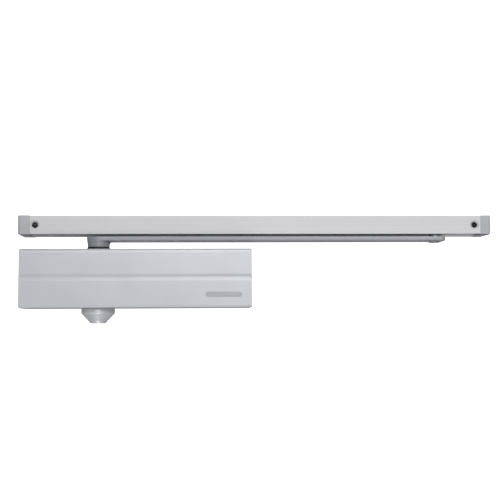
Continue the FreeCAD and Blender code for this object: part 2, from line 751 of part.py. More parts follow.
def make_slide_pin():
    """The pin riveted in the arm's end, and the spring clip that keeps the slide block on it."""
    radius, head = "Layout.pin_radius", "Sizes.pin_head / 2"
    low = "Layout.arm_bottom - Sizes.pin_head_tall"
    collar = "Layout.arm_top + Sizes.pin_collar_tall"
    seat = f"{radius} - Sizes.clip_seat"
    clip_low = "Layout.clip_bottom"
    clip_top = f"{clip_low} + Sizes.clip_thick + 2 * Sizes.still_gap"
    points = [("0", low), (f"{head} - Sizes.pin_edge", low), (head, f"{low} + Sizes.pin_edge"),
              (head, "Layout.arm_bottom"), (radius, "Layout.arm_bottom"), (radius, "Layout.arm_top"),
              (head, "Layout.arm_top"), (head, collar), (radius, collar), (radius, clip_low),
              (seat, clip_low), (seat, clip_top), (radius, clip_top),
              (radius, f"{clip_top} + Sizes.pin_end"), ("0", f"{clip_top} + Sizes.pin_end")]
    pin = turned("slide_pin_body", points)
    place(pin, "Layout.pin_x", "Layout.axis_y", "0")
    node(pin, "slide_pin")
    hoop_low = f"{clip_low} + Sizes.still_gap"
    hoop = ring("clip_hoop", f"{seat} + Sizes.still_gap", f"{seat} + Sizes.clip_width", hoop_low,
                f"{hoop_low} + Sizes.clip_thick")
    place(hoop, "Layout.pin_x", "Layout.axis_y", "0")
    half = f"({seat} - Sizes.clip_mouth_step)"
    mouth_low = ("Layout.pin_x", f"Layout.axis_y - {half}", f"{clip_low} - Sizes.cut_margin")
    mouth = block("clip_mouth", mouth_low,
                  ("Layout.pin_x + 2 * Sizes.pin_diameter", f"Layout.axis_y + {half}",
                   f"{clip_top} + Sizes.cut_margin"))
    node(cut("clip_piece", hoop, [mouth]), "slide_pin_clip")


def make_slide_block():
    """The block that runs in the rail's front channel, with rounded ends."""
    half = "Sizes.block_length / 2"
    deep = "Sizes.channel_width / 2 - Sizes.block_gap"
    body = new_body("slide_block_body")
    outline = [(f"-{half}", f"-({deep})"), (half, f"-({deep})"), (half, deep), (f"-{half}", deep)]
    add_pad(body, "XY_Plane", [outline], "Sizes.block_tall")
    add_fillet(body, "Sizes.block_round", lambda c, e: near(abs(c.x), half) and near(abs(c.y), deep)
               and near(e.Length, "Sizes.block_tall"))
    place(body, "Layout.pin_x", "Layout.axis_y", "Layout.block_bottom")
    hole = rod("block_hole", "Layout.pin_radius + Sizes.running_gap", "Layout.rail_bottom",
               "Sizes.rail_tall", "Z", ("Layout.pin_x", "Layout.axis_y"))
    return node(cut("slide_block_piece", body, [hole]), "slide_block")


def make_rail():
    """The extruded guide rail: a slotted front channel, a closed rear chamber and a hole at each end."""
    front, low, high = "Layout.rail_front", "Layout.rail_bottom", "Layout.rail_top"
    slot_front = "Layout.axis_y - Layout.pin_radius - Sizes.pin_slot_gap"
    slot_back = "Layout.axis_y + Layout.pin_radius + Sizes.pin_slot_gap"
    floor, roof = "Layout.channel_floor", "Layout.channel_top"
    outer = [(front, low), (slot_front, low), (slot_front, floor), ("Layout.channel_front", floor),
             ("Layout.channel_front", roof), ("Layout.channel_back", roof), ("Layout.channel_back", floor),
             (slot_back, floor), (slot_back, low), ("0", low), ("0", high), (front, high)]
    chamber_front = "Layout.channel_back + Sizes.rail_wall"
    chamber = [(chamber_front, floor), ("-Sizes.rail_wall", floor), ("-Sizes.rail_wall", roof),
               (chamber_front, roof)]
    body = new_body("rail_body")
    length = "Sizes.rail_length - 2 * Sizes.end_cap_length"
    add_pad(body, "YZ_Plane", [outer, chamber], length, both_ways=True)
    add_fillet(body, "Sizes.rail_round", lambda c, e: near(c.y, front) and near(c.x, "0")
               and e.Length > value(length) - 1)
    place(body, "Layout.rail_middle", "0", "0")
    tools = []
    for x in ("Layout.rail_left + Sizes.rail_hole_inset", "Layout.rail_right - Sizes.rail_hole_inset"):
        tools.append(rod("rail_hole_tool", "Sizes.rail_hole / 2", f"{front} - Sizes.cut_margin",
                         f"2 * Sizes.cut_margin - ({front})", "Y", (x, "Layout.rail_hole_z")))
        tools.append(primitive("Cone", "countersink_tool", "Y", (x, front, "Layout.rail_hole_z"),
                               Radius1="Sizes.countersink / 2", Radius2="Sizes.rail_hole / 2",
                               Height="Sizes.countersink_depth"))
    return node(cut("rail_piece", body, tools), "rail_channel")


def make_rail_end(label, sign):
    """The end cap and the fixing block at one end of the rail."""
    edge, inwards = ("Layout.rail_right", "-") if sign > 0 else ("Layout.rail_left", "+")
    proud, wall, gap = "Sizes.end_cap_proud", "Sizes.rail_wall", "Sizes.seated_gap"
    face = f"{edge} {inwards} Sizes.end_cap_length"
    body = new_body(f"{label}_cap_body")
    front = f"Layout.rail_front - {proud}"
    base = f"Layout.rail_bottom - {proud}"
    roof = f"Layout.rail_top + {proud}"
    outline = [(front, base), ("0", base), ("0", roof), (front, roof)]
    add_pad(body, "YZ_Plane", [outline], "Sizes.end_cap_length", backwards=sign < 0)
    end_x = sign * value("Sizes.end_cap_length")
    add_fillet(body, "Sizes.end_cap_round", lambda c, e: abs(c.x - end_x) < 0.01 and near(c.y, front))
    chamber_back = f"-{wall} - {gap}"
    chamber_front = f"Layout.channel_back + {wall} + {gap}"
    low, high = f"Layout.channel_floor + {gap}", f"Layout.channel_top - {gap}"
    tongue = [(chamber_front, low), (chamber_back, low), (chamber_back, high), (chamber_front, high)]
    add_pad(body, "YZ_Plane", [tongue], "Sizes.end_cap_tongue", backwards=sign > 0)
    place(body, face, "0", "0")
    node(body, f"{label}_end_cap")
    near_x = f"{edge} {inwards} Sizes.end_block_inset"
    far_x = f"{edge} {inwards} Sizes.end_cap_length {inwards} {gap}"
    low_x, high_x = (near_x, far_x) if sign > 0 else (far_x, near_x)
    piece = block(f"{label}_block_body", (low_x, f"Layout.channel_front + {gap}", low),
                  (high_x, f"Layout.channel_back - {gap}", high))
    hole = rod(f"{label}_block_hole", "Sizes.rail_hole / 2", "Layout.rail_front", "-Layout.rail_front", "Y",
               (f"{edge} {inwards} Sizes.rail_hole_inset", "Layout.rail_hole_z"))
    node(cut(f"{label}_block_piece", piece, [hole]), f"{label}_end_block")


def make_spindle_cap():
    """The hollow cap over the spindle's lower end; its collar grips the lower bearing nut."""
    wall = "Sizes.cap_wall"
    top = "-Layout.cover_top"
    rim = f"{top} - Sizes.cap_straight"
    cone = f"{rim} - Sizes.cap_cone"
    tip = f"{cone} - Sizes.cap_tip"
    inner = f"Layout.cap_radius - {wall}"
    collar_top = "-Layout.housing_top - Sizes.cap_nut_gap"
    seat = "-Layout.nut_top - Sizes.cap_nut_gap"
    shoulder = f"{top} - Sizes.seated_gap"
    edge = "Sizes.cap_edge"
    points = [
        ("Layout.collar_inner", collar_top), ("Layout.collar_outer", collar_top),
        ("Layout.collar_outer", shoulder), ("Layout.cap_radius", shoulder), ("Layout.cap_radius", rim),
        ("Sizes.cap_tip_radius", cone), (f"Sizes.cap_tip_radius - {edge}", f"{tip} + {edge}"),
        (f"Sizes.cap_tip_radius - 3 * {edge}", tip), ("0", tip), ("0", f"{tip} + {wall}"),
        (f"Sizes.cap_tip_radius - {wall}", f"{tip} + {wall} + {edge}"), (inner, rim), (inner, seat),
        ("Layout.collar_inner", seat),
    ]
    cap = turned("spindle_cap_body", points)
    place(cap, "Layout.spindle_x", "Layout.axis_y", "0")
    return node(cap, "spindle_cap")


def make_piston():
    """The piston: solid heads joined by side bars round a window; the front bar carries the rack."""
    radius, left, right = "Layout.piston_radius", "Layout.piston_left", "Layout.piston_right"
    section = "Sizes.ring_section"
    groove = f"{radius} - 2 * {section}"
    middle = f"{right} - Sizes.right_head + 3 * {section}"
    low, high = f"{middle} - {section}", f"{middle} + {section}"
    points = [("0", left), (radius, left), (radius, low), (groove, low), (groove, high), (radius, high),
              (radius, right), ("0", right)]
    body = turned("piston_body", points, "X")
    place(body, "0", "Layout.axis_y", "0")
    doc.recompute()
    back = "Layout.tip_radius + Sizes.window_back_gap"
    tip_line = "-Layout.rack_tip_reach"
    window = [("Layout.window_left", tip_line), ("Layout.window_right", tip_line),
              ("Layout.window_right", back), ("Layout.window_left", back)]
    add_pocket(body, "XY_Plane", [window], "3 * Layout.bore_radius", both_ways=True)
    slope = "tan(Sizes.pressure_angle)"
    half_gap = "(Layout.tooth_pitch / 4 + Sizes.rack_backlash / 2)"
    mouth = f"{half_gap} + Sizes.rack_addendum * {slope}"
    floor = f"{half_gap} - (Layout.rack_root_reach - Layout.pitch_radius) * {slope}"
    before = math.ceil(value("(Layout.travel + Layout.contact_reach) / Layout.tooth_pitch"))
    after = math.ceil(value(f"(Layout.contact_reach - ({mouth})) / Layout.tooth_pitch"))
    spaces = []
    for number in range(-before, after + 1):
        x = f"Layout.spindle_x + {number} * Layout.tooth_pitch"
        spaces.append([(f"{x} - ({mouth})", tip_line), (f"{x} - ({floor})", "-Layout.rack_root_reach"),
                       (f"{x} + {floor}", "-Layout.rack_root_reach"), (f"{x} + {mouth}", tip_line)])
    add_pocket(body, "XY_Plane", spaces, "3 * Layout.bore_radius", both_ways=True)
    axis = ("Layout.axis_y", "0")
    ball = "Sizes.check_ball / 2"
    passage = "Sizes.check_passage / 2"
    chamber = "Layout.window_right + Sizes.check_wall"
    holes = [
        rod("check_passage", passage, "Layout.window_right - Sizes.cut_margin", "Sizes.right_head", "X",
            axis),
        rod("check_chamber", f"{ball} + Sizes.check_side_gap", chamber, "Sizes.right_head", "X", axis),
    ]
    node(cut("piston_piece", body, holes), "piston")
    seal = primitive("Torus", "piston_ring", "X", (middle, "Layout.axis_y", "0"),
                     Radius1=f"{radius} - {section}", Radius2=f"{section} - Sizes.still_gap")
    node(seal, "piston_seal")
    centre = f"{chamber} + sqrt(({ball})^2 - ({passage})^2) + Sizes.running_gap"
    node(primitive("Sphere", "ball", "Z", (centre, "Layout.axis_y", "0"), Radius=ball), "check_valve_ball")
    keeper = ring("check_keeper", "Sizes.check_keeper_hole / 2",
                  f"{ball} + Sizes.check_side_gap - Sizes.still_gap",
                  f"{centre} + {ball} + Sizes.running_gap", f"{right} - Sizes.seated_gap", "X")
    place(keeper, "0", "Layout.axis_y", "0")
    node(keeper, "check_valve_plug")


def make_spring():
    """The closing spring, a round wire wound between the piston and the spring seat."""
    squeezed = value("Layout.spring_length - Layout.travel - Sizes.adjuster_travel")
    turns = math.floor(squeezed / value("Sizes.spring_wire + Sizes.coil_gap"))
    length = "Layout.spring_length - 2 * Sizes.seated_gap"
    start = "Layout.piston_right + Sizes.spring_wire / 2 + Sizes.seated_gap"
    helix = primitive("Helix", "spring_path", "X", (start, "Layout.axis_y", "0"),
                      Radius="Layout.spring_radius", Height=length, Pitch=f"({length}) / {turns}")
    doc.recompute()
    wire = doc.addObject("Part::Circle", "spring_wire_section")
    wire.setExpression("Radius", "Sizes.spring_wire / 2")
    edge = helix.Shape.Edges[0]
    along = FreeCAD.Rotation(V(0, 0, 1), edge.tangentAt(edge.FirstParameter))
    wire.Placement = FreeCAD.Placement(helix.Shape.Vertexes[0].Point, along)
    sweep = doc.addObject("Part::Sweep", "spring_sweep")
    sweep.Sections = [wire]
    sweep.Spine = helix
    sweep.Solid = True
    sweep.Frenet = True
    return node(sweep, "closing_spring")


def make_adjuster():
    """The spring seat and the screw in the right plug that moves it."""
    radius = "Sizes.adjuster_thread / 2"
    collar_high = "Layout.plug_face - Sizes.end_play"
    collar_low = f"{collar_high} - Sizes.adjuster_collar"
    inner = "Layout.seat_left - Sizes.adjuster_travel - Sizes.adjuster_reach"
    outer = "Layout.block_end - Sizes.adjuster_sink"
    flange = f"{radius} + Sizes.adjuster_flange"
    points = [("0", inner), (radius, inner), (radius, collar_low), (flange, collar_low),
              (flange, collar_high), (radius, collar_high), (radius, outer), ("0", outer)]
    screw = turned("adjuster_body", points, "X")
    place(screw, "0", "Layout.axis_y", "0")
    key = hex_tool("adjuster_key", "Sizes.adjuster_key", f"{outer} - Sizes.adjuster_key_depth",
                   "2 * Sizes.adjuster_key_depth", "X", ("Layout.axis_y", "0"))
    node(cut("adjuster_piece", screw, [key]), "force_adjusting_screw")
    seat = ring("seat_body", f"{radius} + Sizes.running_gap", "Layout.bore_radius - Sizes.running_gap",
                "Layout.seat_left", "Layout.seat_right", "X")
    place(seat, "0", "Layout.axis_y", "0")
    node(seat, "spring_seat")


def make_valve(label, z_sign):
    """A slotted regulating needle in the housing's left end, and its sealing ring."""
    full = "Layout.valve_radius - Sizes.running_gap"
    neck = f"{full} - Sizes.valve_neck"
    outer = "-Layout.block_end + Sizes.valve_sink"
    middle = f"{outer} + Sizes.valve_ring_inset"
    half = "(Sizes.valve_ring + Sizes.seated_gap)"
    land = f"{middle} + {half} + Sizes.valve_land"
    tip = "-Layout.block_end + Sizes.valve_depth - Sizes.valve_tip_gap"
    points = [("0", outer), (full, outer), (full, f"{middle} - {half}"), (neck, f"{middle} - {half}"),
              (neck, f"{middle} + {half}"), (full, f"{middle} + {half}"), (full, land), (neck, land),
              (neck, f"{tip} - Sizes.valve_cone"), ("Sizes.valve_tip_radius", tip), ("0", tip)]
    needle = turned(f"{label}_body", points, "X")
    line = ("Layout.channel_y", f"{z_sign}Layout.valve_z")
    place(needle, "0", *line)
    slot = block(f"{label}_slot",
                 (f"{outer} - Sizes.cut_margin", f"{line[0]} - Sizes.valve_slot / 2",
                  f"{line[1]} - Sizes.valve_diameter"),
                 (f"{outer} + Sizes.valve_slot_depth", f"{line[0]} + Sizes.valve_slot / 2",
                  f"{line[1]} + Sizes.valve_diameter"))
    node(cut(f"{label}_piece", needle, [slot]), f"{label}_speed_valve")
    seal = primitive("Torus", f"{label}_ring", "X", (middle, *line), Radius1=f"{full} - Sizes.valve_ring",
                     Radius2="Sizes.valve_ring")
    node(seal, f"{label}_valve_seal")


def write_nodes():
    """Check every object, then write one STEP file per sub-part."""
    doc.recompute()
    for item in doc.Objects:
        if {"Invalid", "Error"} & set(item.State):
            raise RuntimeError(f"{item.Label} failed: {item.State}")
    os.makedirs("parts", exist_ok=True)
    for piece in nodes:
        shape = piece.Shape
        if shape.isNull() or not shape.isValid():
            raise RuntimeError(f"{piece.Label} has a bad shape")
        shape.exportStep(f"parts/{piece.Label}.step")


make_housing()
make_cover()
make_badge()
make_port_plugs()
make_end_plugs()
make_spindle_stack("upper", "")
make_spindle_stack("lower", "-")
make_spindle_cap()
make_spindle()
make_arm()
make_arm_screw()
make_slide_pin()
make_slide_block()
make_rail()
make_rail_end("left", -1)
make_rail_end("right", 1)
make_piston()
make_spring()
make_adjuster()
make_valve("closing", "")
make_valve("latching", "-")
write_nodes()
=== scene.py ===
import json
import math

import bpy
import bmesh
import numpy as np
from mathutils import Matrix, Vector
from mathutils.geometry import tessellate_polygon


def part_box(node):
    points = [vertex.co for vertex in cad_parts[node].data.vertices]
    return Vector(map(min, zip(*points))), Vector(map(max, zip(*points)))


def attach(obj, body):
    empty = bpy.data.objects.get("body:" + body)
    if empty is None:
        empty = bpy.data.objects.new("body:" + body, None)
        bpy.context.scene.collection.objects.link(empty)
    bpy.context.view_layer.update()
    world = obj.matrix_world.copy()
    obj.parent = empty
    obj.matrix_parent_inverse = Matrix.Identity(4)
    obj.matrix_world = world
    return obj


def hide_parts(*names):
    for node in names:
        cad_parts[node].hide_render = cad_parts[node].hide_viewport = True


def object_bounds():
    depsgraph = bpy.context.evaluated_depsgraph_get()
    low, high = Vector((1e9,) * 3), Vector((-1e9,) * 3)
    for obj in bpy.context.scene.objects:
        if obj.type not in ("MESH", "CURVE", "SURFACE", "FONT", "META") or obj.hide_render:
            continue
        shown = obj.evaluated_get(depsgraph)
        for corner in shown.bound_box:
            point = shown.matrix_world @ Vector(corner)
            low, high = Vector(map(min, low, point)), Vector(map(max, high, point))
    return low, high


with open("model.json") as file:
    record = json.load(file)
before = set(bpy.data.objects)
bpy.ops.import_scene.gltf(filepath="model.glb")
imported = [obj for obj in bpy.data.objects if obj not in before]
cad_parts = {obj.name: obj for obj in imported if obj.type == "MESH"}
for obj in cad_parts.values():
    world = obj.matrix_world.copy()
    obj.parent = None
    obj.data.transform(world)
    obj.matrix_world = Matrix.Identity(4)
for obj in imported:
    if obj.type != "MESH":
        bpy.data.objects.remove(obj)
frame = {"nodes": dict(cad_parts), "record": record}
cadBox = [list(corner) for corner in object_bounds()]
slotOf = {part["node"]: part["material_slot"] for part in frame["record"]["subparts"]}
bodyOf = {node: body for body, nodes in frame["record"]["behaviour"]["bodies"].items() for node in nodes}
mm = 0.001
print("frame loaded:", len(frame["nodes"]), "parts")

cameraSet = {
    "azimuth": -2.90, "elevation": -4.82, "roll": -0.34,  # degrees
    "distance": 862.1, "target": (104.63, -20.0, 27.11),  # mm
    "lens": 66.29, "sensor": 36.0,
}


def directionFrom(azimuth, elevation):
    a, e = math.radians(azimuth), math.radians(elevation)
    return Vector((math.sin(a) * math.cos(e), -math.cos(a) * math.cos(e), math.sin(e)))


def makeCamera():
    roll = math.radians(cameraSet["roll"])
    back = directionFrom(cameraSet["azimuth"], cameraSet["elevation"])
    right = (-back).cross(Vector((0, 0, 1))).normalized()
    up = right.cross(-back)
    across = right * math.cos(roll) + up * math.sin(roll)
    above = up * math.cos(roll) - right * math.sin(roll)
    data = bpy.data.cameras.new("camera")
    data.lens, data.sensor_width = cameraSet["lens"], cameraSet["sensor"]
    data.clip_start, data.clip_end = 0.01, 30
    data.dof.use_dof = False
    camera = bpy.data.objects.new("camera", data)
    place = Vector(cameraSet["target"]) * mm + back * cameraSet["distance"] * mm
    camera.matrix_world = Matrix.Translation(place) @ Matrix((across, above, back)).transposed().to_4x4()
    bpy.context.collection.objects.link(camera)
    bpy.context.scene.camera = camera


makeCamera()


# shader sums: a wrapped socket, whose operators each add a Math node
class Level:
    def __init__(self, maker, socket):
        self.maker, self.socket = maker, socket

    def sum(self, operation, first, second):
        return self.maker.add("Math", {"operation": operation}, {0: first, 1: second})

    def __add__(self, other):
        return self.sum("ADD", self, other)

    __radd__ = __add__

    def __sub__(self, other):
        return self.sum("SUBTRACT", self, other)

    def __rsub__(self, other):
        return self.sum("SUBTRACT", other, self)

    def __mul__(self, other):
        return self.sum("MULTIPLY", self, other)

    __rmul__ = __mul__


class Maker:
    def __init__(self, name, world=False):
        # one for a material, or for the sky
        self.material = (bpy.data.worlds if world else bpy.data.materials).new(name)
        self.material.use_nodes = True
        self.tree = self.material.node_tree
        self.shader = self.tree.nodes["Background" if world else "Principled BSDF"]

    def add(self, kind, settings=(), sockets=(), output=0):
        # any node: its settings first, then the values or links of its sockets
        node = self.tree.nodes.new("ShaderNode" + kind)
        for key, setting in dict(settings).items():
            if key == "stops":
                ramp = node.color_ramp.elements
                while len(ramp) < len(setting):
                    ramp.new(0.5)
                for element, (at, tint) in zip(ramp, setting):
                    element.position, element.color = at, tint
            else:
                setattr(node, key, setting)
        for key, given in dict(sockets).items():
            self.put(node.inputs[key], given)
        return Level(self, node.outputs[output])

    def put(self, socket, given):
        if isinstance(given, Level):
            self.tree.links.new(given.socket, socket)
        else:
            socket.default_value = given

    def feed(self, **values):
        for key, given in values.items():
            self.put(self.shader.inputs[key.replace("_", " ")], given)

    def mix(self, factor, first, second):
        return self.add("Mix", {"data_type": "RGBA"}, {0: factor, 6: first, 7: second}, 2)

    def place(self, stretch=(1, 1, 1)):
        # Object coordinates, stretched: a larger number makes the pattern finer along that axis
        coords = self.add("TexCoord", (), (), 3)
        return self.add("Mapping", (), {"Vector": coords, "Scale": stretch})

    def noise(self, size, detail=2.0, rough=0.5, stretch=(1, 1, 1)):
        # size is the pattern's grain in mm
        vector = self.place(stretch)
        return self.add("TexNoise", (), {"Vector": vector, "Scale": 1 / (size * mm), "Detail": detail,
                                         "Roughness": rough})

    def cells(self, size, output=0):
        return self.add("TexVoronoi", (), {"Vector": self.place(), "Scale": 1 / (size * mm)}, output)

    def range(self, level, low, high, first=0.0, last=1.0):
        return self.add("MapRange", (), {0: level, 1: low, 2: high, 3: first, 4: last})

    def edges(self, width, strength):
        # 1 along outer edges, by how far a rounded normal leans from the face's own; the finishes use it to
        # paint a highlight along the edges
        soft = self.add("Bevel", {"samples": 6}, {"Radius": width * mm})
        flat = self.add("NewGeometry", (), (), 1)
        lean = self.add("VectorMath", {"operation": "DOT_PRODUCT"}, {0: soft, 1: flat}, 1)
        return self.range(lean, 0.99, 0.78, 0.0, strength)

    def bump(self, height, depth, strength=1.0):
        # depth in mm
        return self.add("Bump", (), {"Strength": strength, "Distance": depth * mm, "Height": height})


def colour(red, green, blue):
    # screen values of 0 to 255 to the shader's linear ones
    levels = (np.array([red, green, blue]) / 255.0 + 0.055) / 1.055
    return (*(levels ** 2.4).tolist(), 1.0)


def shade(base, by):
    return (*(min(channel * by, 1.0) for channel in base[:3]), 1.0)


materials = {}


def finish(slotName):
    # keeps a made material under its slot
    def keep(make):
        materials[slotName] = make("finish_" + slotName)
        return make
    return keep


def satinPaint(name, look, edgeHighlight):
    # satin metallic paint: cloudy tone, fine flecks, orange peel, and a painted highlight along the edges
    maker = Maker(name)
    base, rough = look["colour"], look["rough"]
    cloud = maker.range(maker.noise(38, 3.0), 0.3, 0.7)
    speck = maker.range(maker.cells(0.16, 1), 0.0, 1.0, -look["fleck"], look["fleck"])
    tone = maker.mix(cloud, shade(base, 0.965), shade(base, 1.03))
    tone = maker.add("HueSaturation", (), {"Value": speck + 1.0, "Color": tone})
    # painted highlight: the edges mixed towards a paler tone
    tone = maker.mix(maker.edges(0.5, edgeHighlight), tone, shade(base, 1.35))
    skin = maker.noise(0.9, 2.0) * 0.7 + maker.noise(0.22, 1.0) * 0.3
    haze = maker.noise(14, 4.0, 0.6)
    maker.feed(Base_Color=tone, Metallic=look["metal"], Normal=maker.bump(skin, look["peel"], 0.7),
               Roughness=maker.range(haze, 0.3, 0.7, rough - 0.04, rough + 0.05))
    maker.shader.inputs["Coat Weight"].default_value = look["coat"]
    maker.shader.inputs["Coat Roughness"].default_value = 0.3
    maker.shader.inputs["Specular IOR Level"].default_value = look["gloss"]
    return maker.material


coverLook = {"colour": colour(194, 196, 202), "rough": 0.42, "metal": 0.25, "coat": 0.12, "gloss": 0.5,
             "peel": 0.018, "fleck": 0.035}
armLook = {"colour": colour(160, 161, 166), "rough": 0.44, "metal": 0.3, "coat": 0.0, "gloss": 0.25,
           "peel": 0.014, "fleck": 0.05}


@finish("cover_paint")
def coverPaint(name):
    return satinPaint(name, coverLook, edgeHighlight=0.3)


@finish("arm_paint")
def armPaint(name):
    return satinPaint(name, armLook, edgeHighlight=0.45)


@finish("badge")
def badgePaint(name):
    # brushed plate: fine lines along X with a slow change of tone
    maker = Maker(name)
    base = colour(168, 170, 175)
    line = maker.noise(0.3, 3.0, 0.6, (0.03, 1, 1))
    tone = maker.mix(maker.range(line, 0.3, 0.7), shade(base, 0.86), shade(base, 1.1))
    # painted highlight: the plate's edges mixed towards a paler tone
    maker.feed(Base_Color=maker.mix(maker.edges(0.3, 0.5), tone, shade(base, 1.2)), Metallic=0.4,
               Roughness=maker.range(line, 0.3, 0.7, 0.28, 0.4), Normal=maker.bump(line, 0.01, 0.6))
    return maker.material


railLook = {"colour": colour(204, 204, 207), "rough": 0.5, "metal": 0.1, "lineSize": 0.35}


@finish("rail_anodised")
def railAnodised(name):
    # matt anodised extrusion: die lines along X, of two widths, under a cloudy etched skin
    maker = Maker(name)
    base, size = railLook["colour"], railLook["lineSize"]
    fine = maker.noise(size, 2.0, 0.6, (0.004, 1, 1))
    broad = maker.noise(size * 8, 2.0, 0.5, (0.004, 1, 1))
    etch = maker.noise(0.12, 2.0)
    cloud = maker.range(maker.noise(30, 3.0), 0.3, 0.7, -0.3, 0.3)
    lines = fine * 0.45 + broad * 0.55
    tone = maker.mix(maker.range(lines + cloud * 0.12, 0.3, 0.7), shade(base, 0.94), shade(base, 1.04))
    # painted highlight: the edges mixed towards a paler tone
    tone = maker.mix(maker.edges(0.35, 0.35), tone, shade(base, 1.3))
    maker.feed(Base_Color=tone, Metallic=railLook["metal"],
               Roughness=maker.range(lines, 0.3, 0.7, railLook["rough"] - 0.05, railLook["rough"] + 0.06),
               Normal=maker.bump(lines * 0.6 + etch * 0.4, 0.012, 0.6))
    return maker.material


def mouldedPlastic(name, base, rough, texture, metal=0.0):
    # moulded plastic: spark-eroded texture, faint flow marks, a painted highlight along the edges
    maker = Maker(name)
    grain = maker.noise(texture, 3.0, 0.65)
    flow = maker.noise(9, 2.0, 0.5, (0.4, 1, 1))
    tone = maker.mix(maker.range(flow, 0.3, 0.7), shade(base, 0.94), shade(base, 1.05))
    tone = maker.mix(maker.range(grain, 0.55, 0.75, 0.0, 0.35), tone, shade(base, 1.2))
    # painted highlight: the edges mixed towards a paler tone
    tone = maker.mix(maker.edges(0.4, 0.35), tone, shade(base, 1.35))
    maker.feed(Base_Color=tone, Metallic=metal, Normal=maker.bump(grain, 0.03, 0.5),
               Roughness=maker.range(grain, 0.3, 0.7, rough - 0.06, rough + 0.08))
    return maker.material


@finish("end_cap_plastic")
def endCapPlastic(name):
    return mouldedPlastic(name, colour(173, 174, 179), rough=0.5, texture=0.35)


@finish("cap_plastic")
def capPlastic(name):
    return mouldedPlastic(name, colour(214, 215, 219), rough=0.36, texture=0.3, metal=0.4)


@finish("block_plastic")
def blockPlastic(name):
    return mouldedPlastic(name, colour(58, 60, 64), rough=0.38, texture=0.25)


@finish("piston_ring_ptfe")
def ringPlastic(name):
    return mouldedPlastic(name, colour(150, 128, 96), rough=0.5, texture=0.2)


@finish("seal_rubber")
def sealRubber(name):
    return mouldedPlastic(name, colour(28, 28, 30), rough=0.6, texture=0.15)


@finish("housing_cast")
def housingCast(name):
    # die-cast metal under thin paint: sand-like grain, flow clouds, darker pits, a painted highlight along
    # the edges
    maker = Maker(name)
    base = colour(168, 170, 174)
    grain = maker.noise(0.55, 4.0, 0.65)
    pits = maker.range(maker.cells(1.7), 0.0, 0.22, 1.0, 0.0)
    cloud = maker.range(maker.noise(24, 4.0, 0.6), 0.3, 0.7)
    tone = maker.mix(cloud, shade(base, 0.86), shade(base, 1.08))
    tone = maker.mix(pits * 0.22, tone, shade(base, 0.6))
    # painted highlight: the edges mixed towards a paler tone
    tone = maker.mix(maker.edges(0.7, 0.55), tone, shade(base, 1.45))
    maker.feed(Base_Color=tone, Metallic=0.55, Roughness=maker.range(grain, 0.3, 0.7, 0.42, 0.62),
               Normal=maker.bump(grain * 0.8 - pits * 0.2, 0.09, 0.7))
    return maker.material


def metalLines(name, base, rough, metal, stretch, depth, stain):
    # machined or plated metal: tool lines, cloudy stain, a painted highlight along the edges
    maker = Maker(name)
    line = maker.noise(0.22, 3.0, 0.6, stretch)
    cloud = maker.range(maker.noise(6, 3.0, 0.6), 0.35, 0.7)
    tone = maker.mix(cloud * 0.5, base, stain)
    tone = maker.mix(maker.range(line, 0.3, 0.7, 0.0, 0.4), tone, shade(base, 1.25))
    # painted highlight: the edges mixed towards a paler tone
    tone = maker.mix(maker.edges(0.3, 0.5), tone, shade(base, 1.5))
    maker.feed(Base_Color=tone, Metallic=metal, Normal=maker.bump(line, depth, 0.6),
               Roughness=maker.range(line, 0.3, 0.7, rough - 0.07, rough + 0.1))
    return maker.material


metalLooks = {
    # colour, roughness, metal, how the tool lines are stretched, their depth in mm, stain
    "machined_steel": (colour(172, 173, 176), 0.3, 0.95, (1, 1, 0.05), 0.02, colour(150, 148, 144)),
    "spring_steel": (colour(92, 94, 100), 0.35, 0.9, (1, 1, 1), 0.02, colour(70, 66, 62)),
    "zinc_steel": (colour(178, 181, 186), 0.32, 0.85, (1, 1, 0.2), 0.015, colour(170, 168, 150)),
    "end_block_zinc": (colour(140, 142, 146), 0.42, 0.85, (0.2, 1, 1), 0.03, colour(112, 112, 110)),
    "bearing_steel": (colour(160, 162, 166), 0.25, 1.0, (1, 1, 0.1), 0.01, colour(138, 136, 132)),
    "nut_black": (colour(46, 47, 50), 0.42, 0.6, (1, 1, 1), 0.03, colour(34, 33, 32)),
}
for slotName, metalLook in metalLooks.items():
    materials[slotName] = metalLines("finish_" + slotName, *metalLook)
print("finishes made:", len(materials))


# shapes: grids of points in mm, joined into one mesh
def roundedPath(corners, radii, steps=6, hold=0.15):
    # each corner gives way to an arc that touches both its sides; a point just outside each arc's ends
    # keeps the flats flat
    points = np.array(corners, float)
    parts = []
    for i, (corner, radius) in enumerate(zip(points, radii)):
        if radius == 0:
            parts.append(corner[None])
            continue
        before, after = points[i - 1] - corner, points[(i + 1) % len(points)] - corner
        before, after = before / np.linalg.norm(before), after / np.linalg.norm(after)
        half = math.acos(np.clip(before @ after, -1, 1)) / 2
        middle = corner + (before + after) / np.linalg.norm(before + after) * radius / math.sin(half)
        start, end = corner + before * radius / math.tan(half), corner + after * radius / math.tan(half)
        turn = math.pi - 2 * half
        t = np.linspace(0, 1, steps + 1)[:, None]
        arc = (start - middle) * np.sin((1 - t) * turn) + (end - middle) * np.sin(t * turn)
        arc = middle + arc / math.sin(turn)
        parts += [(start + before * hold)[None], arc, (end + after * hold)[None]]
    return np.vstack(parts)


